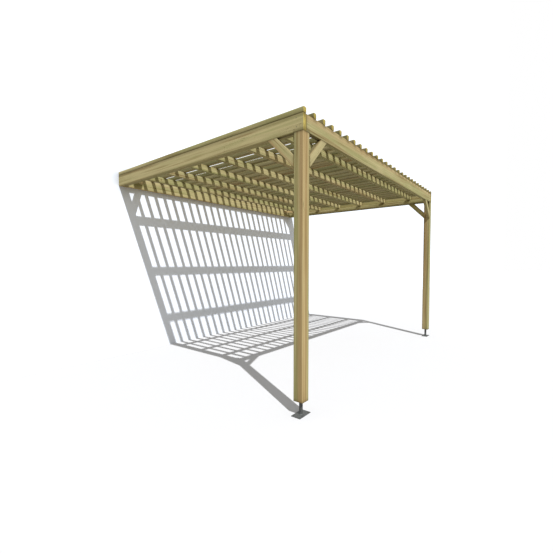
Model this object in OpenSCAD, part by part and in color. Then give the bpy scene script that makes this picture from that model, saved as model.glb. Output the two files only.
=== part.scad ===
// Lean-to pergola in pressure-treated softwood.
// Two posts on steel feet and a wall plate carry a ring of beams. Purlins span between the
// side beams on two ledgers, and a roof of slats lies across them, from the front to the wall.
// Origin: centre of the wall plate's back face. +X right along the front, +Y to the wall, +Z up.

/* [Frame] */
// Overall width, over the side beams
frame_w = 4000; // [3000:10:5000]
// Overall depth, from the front face to the wall
frame_d = 3050; // [2400:10:4000]
// Clear height from the ground to the underside of the beams
clear_h = 2345; // [2000:10:2600]
// Radius of the eased long edges of the beams, purlins and braces
arris_r = 3; // [1:0.5:5]

/* [Beams] */
// Thickness of the beams and the wall plate
beam_t = 45; // [35:1:55]
// Height of the beams and the wall plate
beam_h = 140; // [110:1:200]

/* [Posts] */
// Side of the square posts
post_w = 95; // [80:1:150]
// Radius of the posts' long edges
post_r = 8; // [2:0.5:10]

/* [Feet] */
// Gap between the ground and the underside of a post
foot_h = 120; // [60:1:200]
// Length of a foot's ground plate, along the front
plate_l = 160; // [140:1:220]
// Width of a foot's ground plate
plate_w = 90; // [80:1:120]
// Thickness of a foot's ground plate
plate_t = 5; // [3:0.5:10]
// Diameter of the stud that carries the post
stud_d = 32; // [20:0.5:36]
// Length of the stud inside the post
stud_in = 100; // [60:1:180]
// Clearance around the stud in the post's bore
stud_gap = 0.5; // [0.2:0.1:2]
// Diameter of the bolt holes in a ground plate
plate_hole_d = 11; // [8:0.5:14]
// Distance from a ground plate's edges to its bolt holes
plate_hole_inset = 15; // [12:0.5:20]

/* [Purlins] */
// Number of purlins between the front beam and the wall plate
purlin_count = 6; // [3:1:6]
// Thickness of a purlin
purlin_t = 45; // [35:1:60]
// Height of a purlin
purlin_h = 72; // [50:1:100]
// Distance from the frame's front and back to the first and last purlin's centre line
purlin_inset = 352; // [330:1:450]

/* [Ledgers] */
// Thickness of the ledgers along the side beams
ledger_t = 55; // [30:1:60]
// Height of a ledger, under the purlins' ends
ledger_h = 58; // [40:1:70]

/* [Slats] */
// Number of roof slats
slat_count = 27; // [12:1:27]
// Width of a slat
slat_w = 45; // [30:1:60]
// Height of a slat
slat_h = 50; // [25:1:60]
// Radius of a slat's rounded long edges
slat_r = 9; // [2:0.5:12]

/* [Braces] */
// Width of a knee brace
knee_w = 70; // [50:1:110]
// Thickness of a knee brace
knee_t = 45; // [30:1:45]
// Distance from the corner to the near edge of a knee brace, along the post and the beam
knee_leg = 183; // [100:1:260]
// Width of the flat brace in a corner at the wall
corner_w = 70; // [45:1:80]
// Thickness of the flat brace in a corner at the wall
corner_t = 45; // [30:1:50]
// Gap between a flat brace's tip and the last purlin
corner_gap = 2; // [1:1:60]

/* [Wall fixings] */
// Number of pairs of fixing holes, set out from the middle of the wall plate
fixing_pairs = 3; // [1:1:5]
// Diameter of a fixing hole
fixing_d = 11; // [8:0.5:14]
// Distance from the wall plate's ends to the outer fixing holes
fixing_inset = 155; // [60:1:300]

/* [Hidden] */
SLATS = [for (i = [1:slat_count]) str("slat_", i)];
PURLINS = [for (i = [1:purlin_count]) str("purlin_", i)];

left_x = -frame_w / 2;                  // outer face of the left side beam
front_y = -frame_d;                     // front face of the frame
top_z = beam_h / 2;                     // tops of the beams and purlins
low_z = -beam_h / 2;                    // undersides of the beams
ground_z = low_z - clear_h;             // underside of the ground plates
post_foot_z = ground_z + foot_h;        // underside of a post
span_w = frame_w - 2 * beam_t;          // clear width between the side beams
post_mid = post_w / 2;
purlin_pitch = (frame_d - 2 * purlin_inset) / (purlin_count - 1);
slat_pitch = (frame_w - slat_w) / (slat_count - 1);
fixing_pitch = (span_w - 2 * fixing_inset) / (2 * fixing_pairs - 1);
corner_reach = purlin_inset - purlin_t / 2 - beam_t - corner_gap;  // a flat brace's far leg
corner_leg = corner_reach - corner_w * sqrt(2);                    // a flat brace's near leg
bore_fn = 48;
arris_fn = 32;
over = 1;                               // how far a cut runs past the face it opens

timber = [0.68, 0.61, 0.43];
steel = [0.43, 0.44, 0.45];

// A w by h rectangle from the origin with its four corners rounded to radius r
module section(w, h, r) {
    translate([r, 0]) square([w - 2 * r, h]);
    translate([0, r]) square([w, h - 2 * r]);
    for (x = [r, w - r], y = [r, h - r])
        translate([x, y]) circle(r = r, $fn = arris_fn);
}

// A board of length l along +X, t thick along +Y and h high
module board_along_x(l, t, h) {
    rotate([90, 0, 90]) linear_extrude(l) section(t, h, arris_r);
}

// A board of length l along +Y, t thick along +X and h high
module board_along_y(l, t, h, r = arris_r) {
    translate([0, l, 0]) rotate([90, 0, 0]) linear_extrude(l) section(t, h, r);
}

// A board w wide and t thick at 45 degrees across the corner at the origin, between the
// +X leg and the -Y leg, with both ends mitred to the legs
module mitred_brace(w, t, leg) {
    near = leg / sqrt(2);
    reach = leg + w * sqrt(2);
    intersection() {
        rotate([0, 0, -45]) translate([near, -reach, 0]) board_along_y(2 * reach, w, t);
        translate([0, -reach, 0]) cube([reach, reach, t]);
    }
}

// Draws the left-hand piece as it is, or its mirror image on the right
module on_side(side) {
    if (side == "left") children();
    else mirror([1, 0, 0]) children();
}

module wall_plate() {
    color(timber) difference() {
        translate([-span_w / 2, -beam_t, low_z]) board_along_x(span_w, beam_t, beam_h);
        for (s = [-1, 1], k = [0:fixing_pairs - 1])
            translate([s * (k + 0.5) * fixing_pitch, over, 0])
                rotate([90, 0, 0]) cylinder(h = beam_t + 2 * over, d = fixing_d, $fn = bore_fn);
    }
}

module front_beam() {
    color(timber) translate([-span_w / 2, front_y, low_z]) board_along_x(span_w, beam_t, beam_h);
}

module side_beam(side) {
    color(timber) on_side(side)
        translate([left_x, front_y, low_z]) board_along_y(frame_d, beam_t, beam_h);
}

// A post is rebated at its head, so that the two beams stand on its shoulders and its
// tenon rises in the corner behind them
module post(side) {
    color(timber) on_side(side) translate([left_x, front_y, 0]) difference() {
        translate([0, 0, post_foot_z])
            linear_extrude(top_z - post_foot_z) section(post_w, post_w, post_r);
        translate([-over, -over, low_z]) cube([beam_t + over, post_w + 2 * over, beam_h + over]);
        translate([-over, -over, low_z]) cube([post_w + 2 * over, beam_t + over, beam_h + over]);
        translate([post_mid, post_mid, post_foot_z - over])
            cylinder(h = stud_in + over, d = stud_d + 2 * stud_gap, $fn = bore_fn);
    }
}

// A foot is a ground plate with four bolt holes, welded to a stud whose top bears on the
// end of the post's bore
module foot(side) {
    color(steel) on_side(side) translate([left_x + post_mid, front_y + post_mid, ground_z])
        difference() {
            union() {
                translate([-plate_l / 2, -plate_w / 2, 0]) cube([plate_l, plate_w, plate_t]);
                cylinder(h = foot_h + stud_in, d = stud_d, $fn = bore_fn);
            }
            for (sx = [-1, 1], sy = [-1, 1])
                translate([sx * (plate_l / 2 - plate_hole_inset), sy * (plate_w / 2 - plate_hole_inset), -over])
                    cylinder(h = plate_t + 2 * over, d = plate_hole_d, $fn = bore_fn);
        }
}

module front_knee_brace(side) {
    color(timber) on_side(side) translate([left_x + post_w, front_y + knee_t, low_z])
        rotate([90, 0, 0]) mitred_brace(knee_w, knee_t, knee_leg);
}

module side_knee_brace(side) {
    color(timber) on_side(side) translate([left_x, front_y + post_w, low_z])
        rotate([90, 0, 90]) mitred_brace(knee_w, knee_t, knee_leg);
}

// A ledger runs along a side beam's inner face, from the post to the wall plate, and carries
// the purlins' ends
module ledger(side) {
    color(timber) on_side(side)
        translate([left_x + beam_t, front_y + post_w, top_z - purlin_h - ledger_h])
            board_along_y(frame_d - post_w - beam_t, ledger_t, ledger_h);
}

// The flat braces lie on the ledgers, level with the purlins' undersides
module wall_corner_brace(side) {
    color(timber) on_side(side) translate([left_x + beam_t, -beam_t, top_z - purlin_h])
        mitred_brace(corner_w, corner_t, corner_leg);
}

// Purlin 1 is the one nearest the front
module purlin(i) {
    y = front_y + purlin_inset + (i - 1) * purlin_pitch;
    color(timber) translate([-span_w / 2, y - purlin_t / 2, top_z - purlin_h])
        board_along_x(span_w, purlin_t, purlin_h);
}

// Slat 1 is the one on the left
module slat(i) {
    color(timber) translate([left_x + (i - 1) * slat_pitch, front_y, top_z])
        board_along_y(frame_d, slat_w, slat_h, slat_r);
}

wall_plate();
front_beam();
for (s = ["left", "right"]) {
    side_beam(s);
    post(s);
    foot(s);
    front_knee_brace(s);
    side_knee_brace(s);
    wall_corner_brace(s);
    ledger(s);
}
for (i = [1:purlin_count])
    purlin(i);
for (i = [1:slat_count])
    slat(i);
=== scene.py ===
import math

import bpy
import numpy as np
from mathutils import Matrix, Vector


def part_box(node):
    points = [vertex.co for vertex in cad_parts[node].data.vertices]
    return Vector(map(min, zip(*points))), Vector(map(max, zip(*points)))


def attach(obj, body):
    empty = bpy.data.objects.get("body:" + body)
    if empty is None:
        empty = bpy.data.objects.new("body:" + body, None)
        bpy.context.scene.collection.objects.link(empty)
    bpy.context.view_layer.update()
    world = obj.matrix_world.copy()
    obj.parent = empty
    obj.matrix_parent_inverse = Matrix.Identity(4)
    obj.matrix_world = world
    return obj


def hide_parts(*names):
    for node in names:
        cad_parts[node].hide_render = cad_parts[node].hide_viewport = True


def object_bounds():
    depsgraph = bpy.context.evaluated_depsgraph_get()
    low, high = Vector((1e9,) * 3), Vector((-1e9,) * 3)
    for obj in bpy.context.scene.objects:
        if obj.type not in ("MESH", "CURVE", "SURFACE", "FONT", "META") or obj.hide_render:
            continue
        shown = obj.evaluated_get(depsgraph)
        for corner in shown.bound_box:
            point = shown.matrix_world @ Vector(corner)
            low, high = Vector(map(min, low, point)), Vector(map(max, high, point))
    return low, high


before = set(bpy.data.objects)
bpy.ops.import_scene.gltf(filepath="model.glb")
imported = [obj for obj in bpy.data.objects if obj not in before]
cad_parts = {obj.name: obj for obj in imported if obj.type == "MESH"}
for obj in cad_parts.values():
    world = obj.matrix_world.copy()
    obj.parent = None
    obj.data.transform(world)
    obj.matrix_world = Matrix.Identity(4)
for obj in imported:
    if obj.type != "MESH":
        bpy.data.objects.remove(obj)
cad_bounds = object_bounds()


# ---------------------------------------------------------------- Wall plate
# A planed board on edge, 45 by 140 mm, bolted flat to the house wall. It is pressure-treated
# pine, with its long edges eased by the planer and its ends cross-cut. Every other board is
# made as this one is: a rounded section carried along the piece.
ARRIS = 0.003               # radius of a board's eased long edges
END_EASE = 0.0010           # small chamfer that the saw and sandpaper leave round a cut end
FACE_WAVE = 0.0004          # how far a planed face dips below flat
WAVE_RATES = (5.1, 2.3)     # its two slow waves, in radians for each metre along the board
WAVE_SKEW = 40              # and the second one's, for each metre across it
STATION_PITCH = 0.110       # distance between a board's cross-sections away from the joints
STATION_GAP = 0.0015        # the least distance between two of them
JOINT_STEPS = (-0.040, -0.014, -0.005, 0.0, 0.005, 0.014, 0.040)     # where they lie about a joint's edge
END_STEPS = (0.004, 0.012, 0.030)        # and how far from a post's foot or a brace's end
TOUCH = 0.002               # pieces closer than this touch each other
SHARP_BOARD = 35            # degrees between faces beyond which an edge is drawn sharp
LOG_PLACE = (3, 60)         # range of places along the log that a board is cut from
END_DARK_REACH = 0.014          # how far the darkening at a board's cut start reaches
SHADE_REACH = 0.008         # how far the painted shade reaches out of a joint
KNEE_WIDTH = 0.070          # of a knee brace, across its length
KNEE_CUT = KNEE_WIDTH * math.sqrt(2)     # length of a knee brace's mitred end
CORNER_SHADE = 0.85          # how dark the painted shade is in the corner behind a knee brace
CORNER_SETBACK = 0.012      # how far behind the brace's face of lower x or y it starts
BEAM_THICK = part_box("wall_plate")[1].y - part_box("wall_plate")[0].y
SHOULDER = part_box("front_beam")[0].z     # height of the posts' shoulders, where the beams bear
AXES = {"x": (0, 1, 2), "y": (1, 0, 2)}  # along, side and up axis of a board
SHAPED = ("brace", "foot", "post")       # pieces that don't fill their boxes

# What a board may touch. A post counts as two boxes, its shaft and its tenon.
joint_boxes = [(name, *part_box(name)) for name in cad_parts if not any(word in name for word in SHAPED)]
knee_boxes = [(name, *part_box(name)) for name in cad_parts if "knee" in name]
for side in ("left", "right"):
    low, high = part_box("post_" + side)
    joint_boxes.append(("post_" + side, low, Vector((high.x, high.y, SHOULDER))))
    tenon_low, tenon_high = low.copy(), high.copy()
    tenon_low.y += BEAM_THICK
    tenon_low.z = SHOULDER
    if side == "left":
        tenon_low.x += BEAM_THICK
    else:
        tenon_high.x -= BEAM_THICK
    joint_boxes.append(("post_" + side, tenon_low, tenon_high))


def rounded_section(half_side, half_up, radius, arc_steps=4, side_steps=3, up_steps=4):
    """The closed outline of a rounded rectangle, as one row for each point: the place of the
    arc's centre (on a flat, the point straight under it), the outward normal, and 1 on an arc
    or 0 on a flat. A point lies at centre + normal times what is left of the radius."""
    rows = []
    for quarter in range(4):
        start = quarter * math.pi / 2
        end = start + math.pi / 2
        sign_side = 1 if quarter in (0, 3) else -1
        sign_up = 1 if quarter in (0, 1) else -1
        centre = (sign_side * (half_side - radius), sign_up * (half_up - radius))
        for angle in np.linspace(start, end, arc_steps + 1):
            on_arc = math.sin(2 * angle) ** 2
            rows.append((*centre, math.cos(angle), math.sin(angle), on_arc))
        following = (-centre[0], centre[1]) if quarter % 2 == 0 else (centre[0], -centre[1])
        steps = side_steps if quarter % 2 == 0 else up_steps
        for share in np.arange(1, steps) / steps:
            place = [a + (b - a) * share for a, b in zip(centre, following)]
            rows.append((*place, math.cos(end), math.sin(end), 0.0))
    return np.array(rows)


def joint_stations(node, centre, half, along):
    """Places along a board, from its middle: an even row, with more near both ends of each
    neighbour that touches it, and of a knee brace's mitre. They are rounded to 0.1 mm."""
    half_length = half[along]
    places = [*np.arange(-half_length, half_length, STATION_PITCH), half_length]
    low = centre - half - TOUCH
    high = centre + half + TOUCH
    for name, box_low, box_high in joint_boxes + knee_boxes:
        touches = all(box_low[k] < high[k] and box_high[k] > low[k] for k in range(3))
        if name == node or not touches:
            continue
        for edge, sign in ((box_low[along], -1), (box_high[along], 1)):
            places += [edge - centre[along] + sign * step for step in JOINT_STEPS]
            if "knee" in name:
                places += [edge - centre[along] - sign * (KNEE_CUT + step) for step in JOINT_STEPS]
    inner = half_length - 2 * END_EASE
    places = np.unique(np.round(np.clip(places, -inner, inner), 4))
    keep = np.concatenate([[True], np.diff(places) > STATION_GAP])
    return places[keep]


def shade_from_joints(points, own_name):
    """Painted shade: 1 in a joint, falling off as exp(-distance / reach) from the nearest neighbour's box."""
    nearest = np.full(len(points), 1.0)
    for name, low, high in joint_boxes:
        if name != own_name:
            outside = np.maximum(np.maximum(np.array(low) - points, points - np.array(high)), 0)
            nearest = np.minimum(nearest, np.linalg.norm(outside, axis=1))
    return np.exp(-nearest / SHADE_REACH)


def shade_from_knee_corners(points):
    """Painted shade with the same falloff, from the triangle that each knee brace closes off with its post
    and its beam. In the triangle the steps out from the post and down from the beam add up to less than the
    brace's near leg."""
    corner_shade_share = np.zeros(len(points))
    for name, low, high in knee_boxes:
        run = 0 if name.startswith("front") else 1
        thick = 1 - run
        sign = -1 if name == "front_knee_brace_right" else 1
        out = sign * (points[:, run] - (low[run] if sign > 0 else high[run]))
        down = high.z - points[:, 2]
        near_leg = high.z - low.z - KNEE_CUT
        beyond = np.maximum(out + down - near_leg, 0) / math.sqrt(2)
        across = points[:, thick]
        aside = np.maximum(np.maximum(low[thick] + CORNER_SETBACK - across, across - high[thick]), 0)
        away = np.sqrt(beyond ** 2 + aside ** 2 + np.minimum(out, 0) ** 2 + np.minimum(down, 0) ** 2)
        corner_shade_share = np.maximum(corner_shade_share, np.exp(-away / SHADE_REACH))
    return corner_shade_share * CORNER_SHADE


def point_attribute(mesh, name, values):
    """Stores one vector per vertex under a name that the materials read."""
    layer = mesh.attributes.new(name, "FLOAT_VECTOR", "POINT")
    layer.data.foreach_set("vector", np.asarray(values, dtype=np.float32).ravel())


def ring_quads(index):
    """The corners of the faces between rows of point numbers, each row joined round to its own
    start."""
    turned = np.roll(index, -1, axis=1)
    return np.stack([index[:-1], turned[:-1], turned[1:], index[1:]], axis=-1).reshape(-1, 4)


def tube_mesh(name, points, rows, columns):
    """A closed tube. The points are a grid whose every row is a ring, then the middles of the
    first and the last ring, which each close an end with a fan."""
    index = np.arange(rows * columns).reshape(rows, columns)
    turned = np.roll(index, -1, axis=1)
    first, last = rows * columns, rows * columns + 1
    fans = [(first, b, a) for a, b in zip(index[0], turned[0])]
    fans += [(last, a, b) for a, b in zip(index[-1], turned[-1])]
    mesh = bpy.data.meshes.new(name)
    mesh.from_pydata(points.tolist(), [], ring_quads(index).tolist() + fans)
    return mesh


def smooth_object(name, mesh, material, sharp_from):
    """An object at the origin that shows a mesh, shaded smooth but for its sharp edges."""
    mesh.materials.append(material)
    mesh.polygons.foreach_set("use_smooth", np.full(len(mesh.polygons), True))
    mesh.set_sharp_from_angle(angle=math.radians(sharp_from))
    made = bpy.data.objects.new(name, mesh)
    bpy.context.scene.collection.objects.link(made)
    return made


def board_rows(half_length, stations, shoulder):
    """A board's cross-sections, as one row for each: the place along the board, how far it lies
    inside the planed faces, and 1 on a cut end or 0 between them. A shoulder has two, for the
    sections before and after it."""
    rows = [(-half_length, END_EASE, 1.0), (-half_length + END_EASE, 0.0, 0.0)]
    rows += [(place, 0.0, 0.0) for place in stations if abs(place) < half_length - 1.5 * END_EASE]
    rows += [(half_length - END_EASE, 0.0, 0.0), (half_length, END_EASE, 1.0)]
    if shoulder is not None:
        rows = sorted(rows + [(shoulder, 0.0, 0.0)] * 2, key=lambda row: row[0])
    return np.array(rows)


def per_point(values, shape, at_middles):
    """One number for each point of a board's grid, then one for the middles of its two ends."""
    return np.concatenate([np.broadcast_to(values, shape).ravel(), (at_middles, at_middles)])


def make_board(node, centre, frame_axes, half, radius, board_look, stations, mitre=(0.0, 0.0),
               shoulder=None, tenon_edge=0.0, dark_end=0.0, side_shade=1.0, **steps):
    """A rounded section carried along a straight line. A point lies at centre + along * s + side * v + up *
    w. At a mitred end s grows by mitre * v. A face dips by a sum of two slow sines along the board. After the
    shoulder, v and w are no less than the tenon's edge. The dark end darkens the board towards its start. The
    side shade is painted shade that darkens the two side faces."""
    along, side, up = (np.array(axis, dtype=float) for axis in frame_axes)
    half_length, half_side, half_up = half
    section = rounded_section(half_side, half_up, radius, **steps)
    random = np.random.default_rng(board_look["seed"])
    phases = random.uniform(0, 2 * math.pi, 4)[:2]
    rows = board_rows(half_length, stations, shoulder)
    s, ease, end_grain = (column[:, None] for column in rows.T)
    wave = 2 + np.sin(s * WAVE_RATES[0] + phases[0])
    wave = wave + np.sin(s * WAVE_RATES[1] + phases[1] + section[:, 0] * WAVE_SKEW)
    inset = ease + FACE_WAVE * wave / 4
    v = section[:, 0] + section[:, 2] * (radius - inset)
    w = section[:, 1] + section[:, 3] * (radius - inset)
    if shoulder is not None:
        after = np.searchsorted(rows[:, 0], shoulder) + 1
        v[after:] = np.maximum(v[after:], tenon_edge)
        w[after:] = np.maximum(w[after:], tenon_edge)
    share = (s + half_length) / (2 * half_length)
    place = s + v * (mitre[0] * (1 - share) + mitre[1] * share)
    grid = centre + place[..., None] * along + v[..., None] * side + w[..., None] * up
    middles = np.array([[place[k].mean(), v[k].mean(), w[k].mean()] for k in (0, -1)])
    points = np.concatenate([grid.reshape(-1, 3), centre + middles @ np.array([along, side, up])])
    mesh = tube_mesh(node, points, *v.shape)
    if np.dot(np.cross(along, side), up) < 0:
        mesh.flip_normals()

    spots = np.concatenate([np.stack([place, v, w], axis=-1).reshape(-1, 3), middles])
    from_start = spots[:, 0] + half_length
    pith_side, pith_up = board_look["pith"]
    point_attribute(mesh, "grain", spots + (random.uniform(*LOG_PLACE), -pith_side, -pith_up))
    stain_and_shade = np.tile(board_look["stain_and_shade"], (len(spots), 1))
    # Painted shade on the two side faces
    stain_and_shade[:, 2] *= 1 - (1 - side_shade) * per_point(section[:, 2] ** 2, v.shape, 0.0)
    point_attribute(mesh, "stain_and_shade", stain_and_shade)
    cut = per_point(end_grain, v.shape, 1.0)
    arris = per_point(section[:, 4], v.shape, 0.0)
    # Painted shade in the joints and in the corners behind the knee braces
    painted_joint_shade = np.maximum(shade_from_joints(points, node), shade_from_knee_corners(points))
    end_dark = dark_end * np.exp(-from_start / END_DARK_REACH)
    point_attribute(mesh, "wear_and_shade", np.stack([cut, arris, np.maximum(painted_joint_shade, end_dark)], axis=-1))

    piece = smooth_object(node + "_timber", mesh, timber, SHARP_BOARD)
    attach(piece, "root")
    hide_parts(node)


def corners(node):
    """The lowest and the highest corner of a CAD node's box."""
    return [np.array(corner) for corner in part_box(node)]


def straight_board(node, along_axis, radius, board_look, **extras):
    """A board whose faces are square to the frame fills its CAD node's box."""
    low, high = corners(node)
    along, side, up = AXES[along_axis]
    axes = [np.eye(3)[k] for k in (along, side, up)]
    centre = (low + high) / 2
    half = (high - low) / 2
    stations = joint_stations(node, centre, half, along)
    make_board(node, centre, axes, half[[along, side, up]], radius, board_look, stations, **extras)


def srgb(red, green, blue):
    """A colour as it looks on a screen, 0 to 255, as the linear colour that a shader takes."""
    scaled = [channel / 255 for channel in (red, green, blue)]
    return (*(((c + 0.055) / 1.055) ** 2.4 if c > 0.04 else c / 12.92 for c in scaled), 1.0)


FROM_LOW, FROM_HIGH, TO_LOW, TO_HIGH = 1, 2, 3, 4       # places of a Map Range node's inputs
MIX_FACTOR, MIX_BELOW, MIX_ABOVE, MIX_RESULT = 0, 6, 7, 2   # and of a Mix node's colour sockets


class Socket:
    """One output in a shader tree. Arithmetic on sockets and numbers adds Math nodes."""

    def __init__(self, tree, output=None):
        self.tree = tree
        self.output = output

    def fill(self, made, sockets):
        """Sets a node's inputs, or links those whose value is another socket."""
        for key, value in sockets.items():
            if isinstance(value, Socket):
                self.tree.links.new(value.output, made.inputs[key])
            else:
                made.inputs[key].default_value = value

    def node(self, kind, settings=(), sockets=(), output=0):
        """Adds a node, makes its settings, fills its inputs, and gives one of its outputs."""
        made = self.tree.nodes.new(kind)
        for key, value in dict(settings).items():
            setattr(made, key, value)
        self.fill(made, dict(sockets))
        return Socket(self.tree, made.outputs[output])

    def other(self, name):
        """Another output of the node that this one comes from."""
        return Socket(self.tree, self.output.node.outputs[name])

    def math(self, operation, *values):
        return self.node("ShaderNodeMath", {"operation": operation}, dict(enumerate(values)))

    def __add__(self, other):
        return self.math("ADD", self, other)

    def __radd__(self, other):
        return self.math("ADD", other, self)

    def __sub__(self, other):
        return self.math("SUBTRACT", self, other)

    def __rsub__(self, other):
        return self.math("SUBTRACT", other, self)

    def __mul__(self, other):
        return self.math("MULTIPLY", self, other)

    def __rmul__(self, other):
        return self.math("MULTIPLY", other, self)

    def __truediv__(self, other):
        return self.math("DIVIDE", self, other)

    def __abs__(self):
        return self.math("ABSOLUTE", self)

    def step(self, low, high):
        """0 below low, 1 above high, and a smooth S between them; low may be the larger one."""
        ends = {FROM_LOW: low, FROM_HIGH: high}
        if low > high:
            ends = {FROM_LOW: high, FROM_HIGH: low, TO_LOW: 1.0, TO_HIGH: 0.0}
        settings = {"interpolation_type": "SMOOTHSTEP"}
        return self.node("ShaderNodeMapRange", settings, {"Value": self, **ends})

    def plain(self, colour):
        """One even colour."""
        made = self.node("ShaderNodeRGB")
        made.output.default_value = colour
        return made

    def colour(self, above, factor, blend="MIX"):
        """This colour mixed with another by a factor."""
        settings = {"data_type": "RGBA", "blend_type": blend}
        sockets = {MIX_FACTOR: factor, MIX_BELOW: self, MIX_ABOVE: above}
        return self.node("ShaderNodeMix", settings, sockets, MIX_RESULT)

    def coated(self, *coats):
        """This colour under coats of others, each given with how much of it covers."""
        under = self
        for above, cover in coats:
            under = under.colour(above, cover)
        return under

    def stretched(self, x, y, z):
        return self.node("ShaderNodeMapping", {}, {"Vector": self, "Scale": (x, y, z)})

    def noise(self, scale, detail=2.0, roughness=0.5):
        sockets = {"Vector": self, "Scale": scale, "Detail": detail, "Roughness": roughness}
        return self.node("ShaderNodeTexNoise", {}, sockets)

    def cells(self, dimensions, scale, output):
        """The cells about scattered points: their colours, or the places of their points."""
        settings = {"voronoi_dimensions": dimensions, "feature": "F1"}
        return self.node("ShaderNodeTexVoronoi", settings, {"Vector": self, "Scale": scale}, output)

    def bump(self, height, strength, distance):
        sockets = {"Height": height, "Strength": strength, "Distance": distance}
        return self.node("ShaderNodeBump", {}, sockets)

    def attribute(self, name):
        return self.node("ShaderNodeAttribute", {"attribute_name": name}, {}, "Vector")

    def position(self):
        """Where a point lies, in metres in the part's frame."""
        return self.node("ShaderNodeTexCoord", {}, {}, "Object")

    def parts(self):
        """The three numbers of a vector."""
        split = self.node("ShaderNodeSeparateXYZ", {}, {0: self})
        return [split.other(axis) for axis in "XYZ"]

    def joined(self, x, y, z):
        return self.node("ShaderNodeCombineXYZ", {}, {0: x, 1: y, 2: z})


def new_material(name):
    """An empty material: its starting socket, for making nodes, and its Principled shader."""
    material = bpy.data.materials.new(name)
    material.use_nodes = True
    shader = material.node_tree.nodes["Principled BSDF"]
    return material, Socket(material.node_tree), shader


SAPWOOD = srgb(210, 199, 149)
TREATED_GREEN = srgb(182, 181, 125)
HEARTWOOD = srgb(201, 168, 120)
LATE_WOOD = srgb(164, 136, 82)
STREAK_BROWN = srgb(150, 124, 78)
STREAK_PALE = srgb(226, 214, 160)
END_GRAIN = srgb(222, 202, 98)
KNOT_CORE = srgb(98, 80, 50)
KNOT_RIM = srgb(134, 110, 70)
KNOT_HALO = srgb(200, 176, 120)
# The dark in the wood's splits, and the painted shade in its joints
CRACK_AND_SHADE_DARK = srgb(84, 68, 36)
MOST_JOINT_SHADE = 0.88            # how much of the wood the painted joint shade ever covers
RING_WIDTH = 0.0055         # one year's growth
RING_WANDER = 0.030         # how far slow noise bends the rings, in all
RING_UNEVEN = 1.5           # how many rings finer noise shifts them by, in all
HEART_RADIUS = 0.060        # the heartwood that the green preservative can't enter
HEART_SOFT = 0.026          # half the width of its faded edge
HEART_RAGGED = 0.050        # how far that edge wanders, in all
HEART_GROWTH = 0.060        # how much further a board's brown of 1 takes it
KNOT_PITCH = (1.5, 1.1)     # knots per metre along a board, and per radian round the pith
KNOT_CHANCE = 0.62          # the share of those places that have no knot
KNOT_FADE = 0.04            # how far above that chance a knot is fully there
KNOT_SPREAD = 0.060         # a knot's largest radius, as a share of its distance from the pith
KNOT_LEAST = 0.0005         # and its smallest
KNOT_LONG = 0.8             # a knot is drawn out along the board by one over this
KNOT_BULGE = 1.6            # how many of a knot's radii the rings bulge round it


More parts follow.
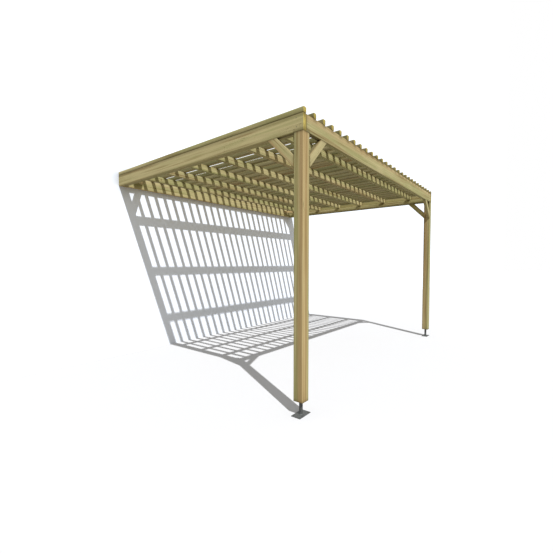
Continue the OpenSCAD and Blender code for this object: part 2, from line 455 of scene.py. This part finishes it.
def timber_material():
    """Planed pine read from board coordinates: length, and distance from the pith each way.
    Growth rings are shells about the pith, bent by slow noise and by the knots. Inside the
    heart radius the wood is pinkish, outside it the preservative turns it green. A knot is a
    cone from the pith, so its size on a face is a share of the distance to the pith."""
    material, tree, shader = new_material("treated_pine")
    grain = tree.attribute("grain")
    length, across, through = grain.parts()
    green, brown, shade = tree.attribute("stain_and_shade").parts()
    cut, arris, painted_joint_shade = tree.attribute("wear_and_shade").parts()
    plain_radius = tree.math("SQRT", across * across + through * through)

    def figure(along, sideways, detail=2.0, roughness=0.5):
        """Noise drawn out along the board, from how fine it is each way."""
        return grain.stretched(along, sideways, sideways).noise(1.0, detail, roughness)

    cell_along = length * KNOT_PITCH[0]
    cell_round = tree.math("ARCTAN2", through, across) * KNOT_PITCH[1]
    knot = tree.joined(cell_along, cell_round, 0.0).cells("2D", 1.0, "Position")
    seat_along, seat_round, _ = knot.parts()
    chance = knot.other("Color").parts()[0]
    knot_length = (seat_along - cell_along) / KNOT_PITCH[0] * KNOT_LONG
    knot_round = (seat_round - cell_round) / KNOT_PITCH[1] * plain_radius
    knot_reach = tree.math("SQRT", knot_length * knot_length + knot_round * knot_round)
    knot_size = plain_radius * chance.step(KNOT_CHANCE, 1.0) * KNOT_SPREAD + KNOT_LEAST
    knot_ratio = knot_reach / knot_size
    has_knot = chance.step(KNOT_CHANCE, KNOT_CHANCE + KNOT_FADE)

    wander = figure(1.1, 5.0, 1.0) - 0.5
    bulge = knot_ratio.step(4.0, 0.6) * knot_size * KNOT_BULGE
    radius = plain_radius + wander * RING_WANDER + bulge
    ring = tree.math("FRACT", radius / RING_WIDTH + figure(0.4, 30.0, 0.0) * RING_UNEVEN)
    late = ring.step(0.35, 0.92) * ring.step(1.0, 0.93)
    heart_edge = figure(1.6, 14.0) - 0.5
    heart_reach = radius + heart_edge * HEART_RAGGED - brown * HEART_GROWTH
    heart = heart_reach.step(HEART_RADIUS + HEART_SOFT, HEART_RADIUS - HEART_SOFT)

    fibres = figure(9.0, 900.0)
    streaks = figure(0.9, 46.0, 3.0, 0.6)
    bands = figure(0.6, 20.0)
    clouds = figure(3.0, 11.0)
    soaked = (bands * 1.2 + clouds * 0.5 + green * 0.5).step(0.85, 1.25)
    split = abs(figure(1.3, 75.0, 0.0) - 0.5).step(0.010, 0.002)
    split = split * figure(1.9, 20.0, 0.0).step(0.60, 0.70)
    # Painted shade along the joints, with the darker cut foot, made patchy by the clouds
    dirt = tree.math("MINIMUM", painted_joint_shade * (clouds * 0.6 + 0.50), MOST_JOINT_SHADE)

    # In a coat, the steps pick the places and the last factor is the most of it that covers.
    wood = tree.plain(SAPWOOD).coated(
        (TREATED_GREEN, soaked),
        (HEARTWOOD, heart * 0.80),
        (STREAK_BROWN, streaks.step(0.52, 0.70) * 0.75),
        (STREAK_PALE, streaks.step(0.48, 0.32) * 0.70),
        (LATE_WOOD, late * (fibres * 0.5 + 0.35) * 0.55),
        (END_GRAIN, cut * 0.80),
        (LATE_WOOD, cut * late * 0.45),
        (KNOT_HALO, knot_ratio.step(2.6, 1.2) * has_knot * 0.5),
        (KNOT_RIM, knot_ratio.step(1.25, 0.95) * has_knot),
        (KNOT_CORE, knot_ratio.step(0.95, 0.35) * has_knot * 0.8),
        (CRACK_AND_SHADE_DARK, split * 0.8),
        (STREAK_PALE, arris * (clouds * 0.5 + 0.05)),
        (CRACK_AND_SHADE_DARK, dirt),
    )
    wood = wood.colour(tree.joined(shade, shade, shade), 1.0, "MULTIPLY")
    relief = fibres * 0.25 - late * 0.5 - split * 3.0 + knot_ratio.step(1.2, 0.8) * 0.8
    rough = 0.82 - late * 0.10 - knot_ratio.step(1.1, 0.7) * 0.15 + fibres * 0.08
    tree.fill(shader, {
        "Base Color": wood,
        "Roughness": rough,
        "Normal": tree.bump(relief, strength=0.35, distance=0.0006),
        "Specular IOR Level": 0.25,
    })
    return material


def look(seed, pith, green=0.5, brown=0.0, shade=1.0):
    """How one board was cut and took its treatment: where the pith runs, in metres across and
    up from the board's middle, how green it is, how far its heartwood reaches, its lightness."""
    return {"seed": seed, "pith": pith, "stain_and_shade": (green, brown, shade)}


timber = timber_material()
straight_board("wall_plate", "x", ARRIS, look(101, (0.05, -0.10), green=0.35, brown=0.2, shade=1.05))


# ---------------------------------------------------------------- Feet
# A hot-dip galvanised ground plate with four anchor holes, and a stout round stud welded to
# its middle that runs up into the post. The plates and studs keep their CAD shape. The weld
# is a bead run round the foot of the stud.
ZINC = srgb(98, 100, 99)
ZINC_PALE = srgb(128, 131, 130)
ZINC_DARK = srgb(70, 72, 72)
SPLASH_DIRT = srgb(88, 82, 70)
PLATE_THICK = 0.005         # of a foot's ground plate
STUD_RADIUS = 0.016
WELD_LEG = 0.006            # how far the bead reaches out from the stud
WELD_FLAT = 0.9             # the bead's height as a share of its width
WELD_SINK = 0.001           # how far it runs into the stud and the plate
WELD_AROUND = 72            # points round it, three for each ripple
WELD_RIPPLES = 24
RIPPLE = 0.0004             # how far a ripple swells and shrinks it
SHARP_WELD = 40             # degrees between faces beyond which an edge of it is drawn sharp


def steel_material():
    """Dull zinc: flat crystals a few millimetres wide, each its own grey, cloudy patches where
    the zinc has dulled, and splashed dirt."""
    material, tree, shader = new_material("galvanised_zinc")
    place = tree.position()
    flake = place.cells("3D", 170.0, "Color").parts()[0]
    patches = place.noise(38.0, 3.0)
    dirt = place.noise(24.0, 4.0, 0.65).step(0.52, 0.74)
    zinc = tree.plain(ZINC).coated(
        (ZINC_PALE, flake.step(0.3, 1.0) * 0.5),
        (ZINC_DARK, patches.step(0.50, 0.72) * 0.6),
        (SPLASH_DIRT, dirt * 0.5),
    )
    tree.fill(shader, {
        "Base Color": zinc,
        "Roughness": 0.58 + flake * 0.12 + dirt * 0.20,
        "Metallic": 0.35 - dirt * 0.20,
        "Normal": tree.bump(patches * 0.6 + flake * 0.2, strength=0.3, distance=0.0008),
        "Specular IOR Level": 0.2,
    })
    return material


def add_piece(name, mesh, material, sharp_from):
    """A piece of its own, beside the CAD nodes."""
    piece = smooth_object(name, mesh, material, sharp_from)
    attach(piece, "root")


def weld_bead(node):
    """A ring turned about the stud. Its section is a bulged triangle in the corner between the
    stud and the plate: radius and height run along a quarter ellipse. Where it stands clear of
    the stud, the radius swells by a sine, once for each stroke of the weld."""
    low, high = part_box(node)
    centre = ((low.x + high.x) / 2, (low.y + high.y) / 2, low.z + PLATE_THICK)
    angles = np.linspace(0, 2 * math.pi, WELD_AROUND, endpoint=False)
    arc = np.linspace(0, math.pi / 2, 6)
    out = np.array([-WELD_SINK, *WELD_LEG * np.cos(arc), -WELD_SINK])[:, None]
    height = WELD_LEG * WELD_FLAT
    up = np.array([-WELD_SINK, *height * np.sin(arc), height])[:, None]
    radius = STUD_RADIUS + out + np.where(out > RIPPLE, RIPPLE * np.sin(WELD_RIPPLES * angles), 0)
    x = centre[0] + radius * np.cos(angles)
    y = centre[1] + radius * np.sin(angles)
    z = centre[2] + np.broadcast_to(up, x.shape)
    index = np.arange(x.size).reshape(x.shape)
    mesh = bpy.data.meshes.new(node + "_weld")
    points = np.stack([x, y, z], axis=-1).reshape(-1, 3)
    mesh.from_pydata(points.tolist(), [], ring_quads(np.concatenate([index, index[:1]])).tolist())
    mesh.flip_normals()
    add_piece(node + "_weld", mesh, zinc_steel, SHARP_WELD)


zinc_steel = steel_material()
for side in ("left", "right"):
    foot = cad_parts["foot_" + side]
    foot.data.materials.clear()
    foot.data.materials.append(zinc_steel)
    weld_bead("foot_" + side)


# ---------------------------------------------------------------- Posts
# Square posts, 95 mm, planed with well rounded edges. A post stands on its foot's stud. Its
# head is rebated on both outer sides, so the beams bear on its shoulders and the tenon that
# is left rises in the corner behind them.
POST_ROUND = 0.008          # radius of a post's long edges
POST_FOOT_DARK = 1.0             # how dark a post's cut foot is drawn
POST_SIDE_SHADE = 0.92      # painted shade: the lightness of a post's left and right faces beside the others'
SHOULDER_CLEAR = 0.002      # no other cross-section lies this close to the shoulder
POST_LOOKS = {
    "left": look(11, (-0.034, -0.052), green=0.70, brown=0.0),
    "right": look(12, (0.030, 0.020), green=0.85, brown=-0.3, shade=0.99),
}


def make_post(side, outward):
    """The shaft's rounded square carried up to the shoulder, then the tenon's corner."""
    node = "post_" + side
    low, high = corners(node)
    centre = (low + high) / 2
    half = (high - low) / 2
    shoulder = SHOULDER - centre[2]
    axes = [(0, 0, 1), (-outward, 0, 0), (0, 1, 0)]
    stations = joint_stations(node, centre, half, along=2)
    stations = [place for place in stations if abs(place - shoulder) > SHOULDER_CLEAR]
    stations += [step - half[2] for step in END_STEPS]
    make_board(node, centre, axes, half[[2, 0, 1]], POST_ROUND, POST_LOOKS[side], sorted(stations),
               shoulder=shoulder, tenon_edge=BEAM_THICK - half[0], dark_end=POST_FOOT_DARK,
               side_shade=POST_SIDE_SHADE, arc_steps=6, side_steps=5, up_steps=5)


make_post("left", -1)
make_post("right", 1)


# ---------------------------------------------------------------- Beams
# The front beam and the two side beams, boards on edge like the wall plate. The side beams
# run the whole depth and cover the ends of the front beam and the wall plate.
straight_board("front_beam", "x", ARRIS, look(25, (0.03, 0.060), green=0.45, brown=0.05, shade=0.94))
straight_board("side_beam_left", "y", ARRIS, look(24, (-0.05, -0.13), green=0.30, shade=1.05))
straight_board("side_beam_right", "y", ARRIS, look(23, (0.06, 0.09), green=0.5))


# ---------------------------------------------------------------- Ledgers
# Battens, 55 by 58 mm, along the inner faces of the side beams from the post to the wall
# plate. The purlins' ends stand on them.
for side, seed in (("left", 37), ("right", 38)):
    straight_board("ledger_" + side, "y", ARRIS, look(seed, (0.05, 0.07), green=0.4, brown=0.1), up_steps=3)


# ---------------------------------------------------------------- Braces
# Short boards across the corners at 45 degrees, mitred at both ends. The knee braces stiffen
# the posts and lie flush with the beams' outer faces. The flat ones lie in the two corners at
# the wall, level with the purlins' undersides.
FLAT_WIDTH = 0.070          # of a flat brace
BRACE_LOOKS = {
    "front_knee_brace_left": look(31, (0.10, 0.06), green=0.0),
    "front_knee_brace_right": look(32, (0.10, 0.06), green=0.2),
    "side_knee_brace_left": look(33, (0.07, 0.05), green=0.0, brown=0.5, shade=1.07),
    # The right side brace's shade of 1.25 is painted light on its shaded inner face
    "side_knee_brace_right": look(34, (0.10, 0.06), green=0.0, brown=-0.6, shade=1.25),
    "wall_corner_brace_left": look(35, (0.08, 0.03), green=0.3),
    "wall_corner_brace_right": look(36, (0.08, 0.03), green=0.3),
}
UP = np.array((0.0, 0.0, 1.0))
BACK = np.array((0.0, 1.0, 0.0))


def make_brace(node, leg_a, leg_b, thickness_axis, width):
    """The legs run out from the corner that the brace crosses. Its line crosses their bisector
    at right angles. Its half length at the middle of its width is its distance from the
    corner, and both ends are cut along the legs, so they grow by the distance across the
    width."""
    low, high = corners(node)
    legs = leg_a + leg_b
    corner = np.where(legs > 0, low, np.where(legs < 0, high, (low + high) / 2))
    thick = (high - low)[np.argmax(np.abs(thickness_axis))]
    bisector = legs / math.sqrt(2)
    along = (leg_a - leg_b) / math.sqrt(2)
    from_corner = (max(high - low) - width * math.sqrt(2)) / math.sqrt(2) + width / 2
    middle = np.linspace(-from_corner, from_corner, 9)[2:-2]
    ends = from_corner - np.array(END_STEPS)
    stations = sorted([*middle, *ends, *-ends])
    make_board(node, corner + bisector * from_corner, (along, bisector, thickness_axis),
               (from_corner, width / 2, thick / 2), ARRIS, BRACE_LOOKS[node], stations, mitre=(-1.0, 1.0))


for side, inward in (("left", 1.0), ("right", -1.0)):
    across = np.array((inward, 0.0, 0.0))
    make_brace("front_knee_brace_" + side, across, -UP, BACK, KNEE_WIDTH)
    make_brace("side_knee_brace_" + side, BACK, -UP, across, KNEE_WIDTH)
    make_brace("wall_corner_brace_" + side, across, -BACK, UP, FLAT_WIDTH)


# ---------------------------------------------------------------- Purlins
# Six battens on edge between the side beams, 45 by 72 mm, with their tops level with the
# beams' tops. They carry the slats.
PURLIN_DRAWS = 400          # first seed of the purlins' looks
PURLIN_SEED = 41            # and of their waves


def numbered(prefix):
    """The CAD nodes whose names are a prefix and a number, in order."""
    names = [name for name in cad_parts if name.startswith(prefix)]
    return sorted(names, key=lambda name: int(name[len(prefix):]))


PURLINS = numbered("purlin_")
for number, node in enumerate(PURLINS):
    random = np.random.default_rng(PURLIN_DRAWS + number)
    pith = (random.uniform(0.03, 0.07), random.uniform(-0.09, 0.09))
    board_look = look(PURLIN_SEED + number, pith, green=random.uniform(0.2, 0.7),
                      brown=random.uniform(-0.7, 0.25), shade=random.uniform(0.94, 1.0))
    straight_board(node, "x", ARRIS, board_look, side_steps=2, up_steps=3)


# ---------------------------------------------------------------- Slats
# Twenty-seven battens, 45 by 50 mm, from the front to the wall, with large rounded edges,
# screwed down on the beams and purlins.
SLAT_ROUND = 0.009          # radius of a slat's long edges
SLAT_SHADE = 0.91           # the roof has weathered darker than the frame
SLAT_SIDE_SHADE = 0.55      # painted shade that darkens the slats' sides, between the slats
FIRST_SLAT_SHADE = 0.92     # the first slat's outer side is open, like a beam's
SLAT_DRAWS = 500            # first seed of the slats' looks
SLAT_SEED = 61              # and of their waves
SLATS = numbered("slat_")
for number, node in enumerate(SLATS):
    random = np.random.default_rng(SLAT_DRAWS + number)
    pith = (random.uniform(-0.09, 0.09), random.uniform(-0.12, -0.07))
    shade = SLAT_SHADE * random.uniform(0.92, 1.08) if number else FIRST_SLAT_SHADE
    board_look = look(SLAT_SEED + number, pith, green=random.uniform(0.1, 0.6),
                      brown=random.uniform(-0.6, 0.25), shade=shade)
    # All slats but the first get painted shade on their sides
    straight_board(node, "y", SLAT_ROUND, board_look, side_shade=SLAT_SIDE_SHADE if number else 1.0,
                   arc_steps=5, side_steps=2, up_steps=2)


# ---------------------------------------------------------------- Screws
# Zinc-plated countersunk screws with a star recess, driven until the head is level with the
# wood: one through every slat into each board that it crosses, and two through each side beam
# into the post's tenon.
HEAD_RADIUS = 0.0048
HEAD_STEPS = 12             # points round a head, two for each point of the star
HEAD_LEVEL = 0.00025        # the flat's height above the screw's place
HEAD_FLAT = 0.9             # the share of the radius inside the bevelled rim
HEAD_BEVEL = 0.0003         # how far the rim falls
HEAD_SKIRT = 0.002          # how far the head runs into the wood
STAR_POINTS = 6
STAR_SWELL = 0.16           # the points' reach, as a share of the recess's radius
STAR_LIP = 0.0021           # that radius at the top
STAR_FLOOR = 0.0016         # and at the bottom
STAR_DEPTH = 0.0016
SHARP_HEAD = 30             # degrees between faces beyond which an edge of it is drawn sharp
SCREW_STEEL = srgb(96, 92, 80)
SCREW_SKIN = 0.0003         # that place's depth, as the wood's faces dip under their CAD box
SCREW_STRAY = 0.004         # how far a screw strays from the middle of both boards
SCREW_DRAWS = 700           # first seed of the slats' screws
# Each post screw's distance behind the frame's front, and its height above the beam's underside
POST_SCREWS = ((0.068, 0.040), (0.070, 0.112))


def screw_heads(name, places, outward):
    """For each place, rings of a dished head: the floor and the lip of the star recess, the
    rim, and a skirt that runs into the wood. The recess's radius swells by a cosine, once for
    each point of the star."""
    angles = np.linspace(0, 2 * math.pi, HEAD_STEPS, endpoint=False)
    star = 1 + STAR_SWELL * np.cos(STAR_POINTS * angles)
    whole = np.full(HEAD_STEPS, HEAD_RADIUS)
    rings = [(STAR_FLOOR * star, -STAR_DEPTH), (STAR_LIP * star, HEAD_LEVEL), (whole * HEAD_FLAT, HEAD_LEVEL),
             (whole, HEAD_LEVEL - HEAD_BEVEL), (whole, -HEAD_SKIRT)]
    outward = np.array(outward, dtype=float)
    first = np.array((0.0, 1.0, 0.0))
    second = np.cross(outward, first)
    spokes = np.cos(angles)[:, None] * first + np.sin(angles)[:, None] * second
    head = np.concatenate([radius[:, None] * spokes + height * outward for radius, height in rings])
    index = np.arange(len(head)).reshape(len(rings), HEAD_STEPS)
    sides = ring_quads(index)[:, [0, 3, 2, 1]]       # turned over, to face outward
    floor, underside = index[:1], index[-1:, ::-1]
    faces = []
    for part in (sides, floor, underside):
        faces += np.concatenate([part + k * len(head) for k in range(len(places))]).tolist()
    points = np.concatenate([head + place for place in places])
    mesh = bpy.data.meshes.new(name)
    mesh.from_pydata(points.tolist(), [], faces)
    add_piece(name, mesh, screw_steel, SHARP_HEAD)


def screw_material():
    """Yellowed zinc plate, paler in some heads than in others."""
    material, tree, shader = new_material("screw_zinc")
    patches = tree.position().noise(210.0, 2.0)
    tree.fill(shader, {
        "Base Color": tree.plain(SCREW_STEEL).coated((ZINC_PALE, patches.step(0.55, 0.75) * 0.4)),
        "Roughness": 0.35 + patches * 0.2,
        "Metallic": 0.7,
    })
    return material


screw_steel = screw_material()
slat_places = []
for number, node in enumerate(SLATS):
    random = np.random.default_rng(SCREW_DRAWS + number)
    slat_low, slat_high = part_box(node)
    for carrier in ("front_beam", *PURLINS, "wall_plate"):
        low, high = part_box(carrier)
        stray = random.uniform(-SCREW_STRAY, SCREW_STRAY, 2)
        x = (slat_low.x + slat_high.x) / 2 + stray[0]
        y = (low.y + high.y) / 2 + stray[1]
        slat_places.append((x, y, slat_high.z - SCREW_SKIN))
screw_heads("slat_screws", slat_places, (0, 0, 1))
for side, outward in (("left", -1.0), ("right", 1.0)):
    beam_low, beam_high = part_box("side_beam_" + side)
    face = beam_low.x if outward < 0 else beam_high.x
    places = [(face - outward * SCREW_SKIN, beam_low.y + behind, beam_low.z + above)
              for behind, above in POST_SCREWS]
    screw_heads("post_screws_" + side, places, (outward, 0, 0))


# ---------------------------------------------------------------- Floor, light and camera
# Studio: a white floor, a white backdrop behind the wall plate that only the camera sees, so
# that it takes the slats' shadow and hides nothing from behind, one sun and an even sky.
STUDIO = 60.0               # how far the floor and the backdrop reach each way
STUDIO_GAP = 0.0005         # and how far they lie from the feet and the wall plate
FLOOR_WHITE = (0.83, 0.835, 0.852, 1.0)      # the floor as the camera sees it
FLOOR_BOUNCE = (0.235, 0.215, 0.175, 1.0)    # and as it throws light up at the timber
BACKDROP_WHITE = (1.34, 1.43, 1.60, 1.0)     # over 1, as the sun meets it at a slant
PAINTED_CONTACT_SHADE = (0.26, 0.27, 0.32, 1.0)       # painted shade on the backdrop right against the timber
CONTACT_REACH = 0.24        # how far the painted shade reaches from the timber over the backdrop
CONTACT_FROM = -0.7         # the height above which it does, so that the floor throws none
CONTACT_RAYS = 8            # tried at each point to find how near it is
GAP_SHADE = (0.30, 0.25, 0.19, 1.0)          # painted shade on the strip between the slats' ends at the wall
GAP_EDGE = 0.004            # width of that strip's faded edges
WHITE = (1.0, 1.0, 1.0, 1.0)
SKY_STRENGTH = 0.40         # the sky's light on the timber; the camera sees it at 1
SUN_STRENGTH = 3.2
SUN_ANGLE = 0.6             # the sun's width in degrees, which softens the shadows' edges
SUN_WAY = Vector((0.3278, 0.6371, -1.0))     # the way that its light travels
LENS = 21.384               # millimetres
CAMERA_FROM_CORNER = Vector((-2.2177, -1.4953, 1.2733))   # from the left front corner of the ground
CAMERA_DOWN = 2.206         # degrees below level
CAMERA_TURN = -51.424       # degrees about the upright from facing the wall, so to the right

ground = cad_bounds[0][2]
slats_low, slats_high = (corner.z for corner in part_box("slat_1"))
roof_half = -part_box("slat_1")[0].x


def stage_plane(name, corners, material):
    """A large plane of the studio, which is no part of the pergola."""
    mesh = bpy.data.meshes.new(name)
    mesh.from_pydata(corners, [], [(0, 1, 2, 3)])
    mesh.materials.append(material)
    made = bpy.data.objects.new(name, mesh)
    bpy.context.scene.collection.objects.link(made)
    return made


def empty_tree(data):
    """The starting socket of a material's or a world's tree, with nothing in it."""
    data.use_nodes = True
    data.node_tree.nodes.clear()
    return Socket(data.node_tree)


def surface_output(tree, kind, surface):
    """Links a surface to an output node, which ends the tree."""
    tree.fill(tree.tree.nodes.new(kind), {"Surface": surface})


def seen_directly(tree):
    """1 for what the camera sees straight or in a reflection, and 0 for light that bounces."""
    camera = tree.node("ShaderNodeLightPath", {}, {}, "Is Camera Ray")
    return tree.math("MAXIMUM", camera, camera.other("Is Glossy Ray"))


def floor_material():
    """White to the camera, and a darker grey to the light that it throws up at the timber."""
    material = bpy.data.materials.new("studio_floor")
    tree = empty_tree(material)
    bounce = tree.node("ShaderNodeBsdfDiffuse", {}, {"Color": FLOOR_BOUNCE})
    white = tree.node("ShaderNodeBsdfDiffuse", {}, {"Color": FLOOR_WHITE})
    mixed = tree.node("ShaderNodeMixShader", {}, {0: seen_directly(tree), 1: bounce, 2: white})
    surface_output(tree, "ShaderNodeOutputMaterial", mixed)
    return material


def backdrop_material():
    """White from the front, with painted shade close to the timber and painted brown shade on the strip
    between the slats' ends, and clear from behind. How open a point is comes from ambient occlusion, and
    counts only above a height. The strip is where height and width are both inside the slats'."""
    material = bpy.data.materials.new("studio_backdrop")
    tree = empty_tree(material)
    behind = tree.node("ShaderNodeNewGeometry", {}, {}, "Backfacing")
    near = {"Color": WHITE, "Distance": CONTACT_REACH}
    openness = tree.node("ShaderNodeAmbientOcclusion", {"samples": CONTACT_RAYS}, near, "AO")
    across, _, height = tree.position().parts()
    openness = 1 - (1 - openness) * height.step(CONTACT_FROM, CONTACT_FROM + CONTACT_REACH)
    # Painted brown shade on the strip between the slats' ends
    inside = height.step(slats_low - GAP_EDGE, slats_low) * height.step(slats_high, slats_high - GAP_EDGE)
    inside = inside * abs(across).step(roof_half, roof_half - GAP_EDGE)
    wall = tree.plain(PAINTED_CONTACT_SHADE).coated((BACKDROP_WHITE, openness), (GAP_SHADE, inside))
    white = tree.node("ShaderNodeBsdfDiffuse", {}, {"Color": wall})
    clear = tree.node("ShaderNodeBsdfTransparent")
    mixed = tree.node("ShaderNodeMixShader", {}, {0: behind, 1: white, 2: clear})
    surface_output(tree, "ShaderNodeOutputMaterial", mixed)
    return material


level = ground - STUDIO_GAP
stage_plane("floor", [(-STUDIO, -STUDIO, level), (STUDIO, -STUDIO, level),
                      (STUDIO, STUDIO, level), (-STUDIO, STUDIO, level)], floor_material())
backdrop = stage_plane("backdrop", [(-STUDIO, STUDIO_GAP, level), (STUDIO, STUDIO_GAP, level),
                                    (STUDIO, STUDIO_GAP, STUDIO), (-STUDIO, STUDIO_GAP, STUDIO)],
                       backdrop_material())
backdrop.visible_diffuse = False
backdrop.visible_glossy = False
backdrop.visible_transmission = False
backdrop.visible_shadow = False

world = bpy.data.worlds.new("studio_sky")
bpy.context.scene.world = world
sky = empty_tree(world)
soft = sky.node("ShaderNodeBackground", {}, {"Color": WHITE, "Strength": SKY_STRENGTH})
bright = sky.node("ShaderNodeBackground", {}, {"Color": WHITE, "Strength": 1.0})
surface_output(sky, "ShaderNodeOutputWorld",
               sky.node("ShaderNodeMixShader", {}, {0: seen_directly(sky), 1: soft, 2: bright}))

sun = bpy.data.lights.new("sun", "SUN")
sun.energy = SUN_STRENGTH
sun.angle = math.radians(SUN_ANGLE)
sun_lamp = bpy.data.objects.new("sun", sun)
sun_lamp.rotation_euler = SUN_WAY.to_track_quat("-Z", "Y").to_euler()
bpy.context.scene.collection.objects.link(sun_lamp)

eye = bpy.data.cameras.new("camera")
eye.lens = LENS
camera = bpy.data.objects.new("camera", eye)
frame_left, frame_front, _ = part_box("side_beam_left")[0]
camera.location = Vector((frame_left, frame_front, ground)) + CAMERA_FROM_CORNER
camera.rotation_euler = (math.radians(90 - CAMERA_DOWN), 0, math.radians(CAMERA_TURN))
bpy.context.scene.collection.objects.link(camera)
bpy.context.scene.camera = camera
bpy.context.scene.view_settings.view_transform = "Standard"
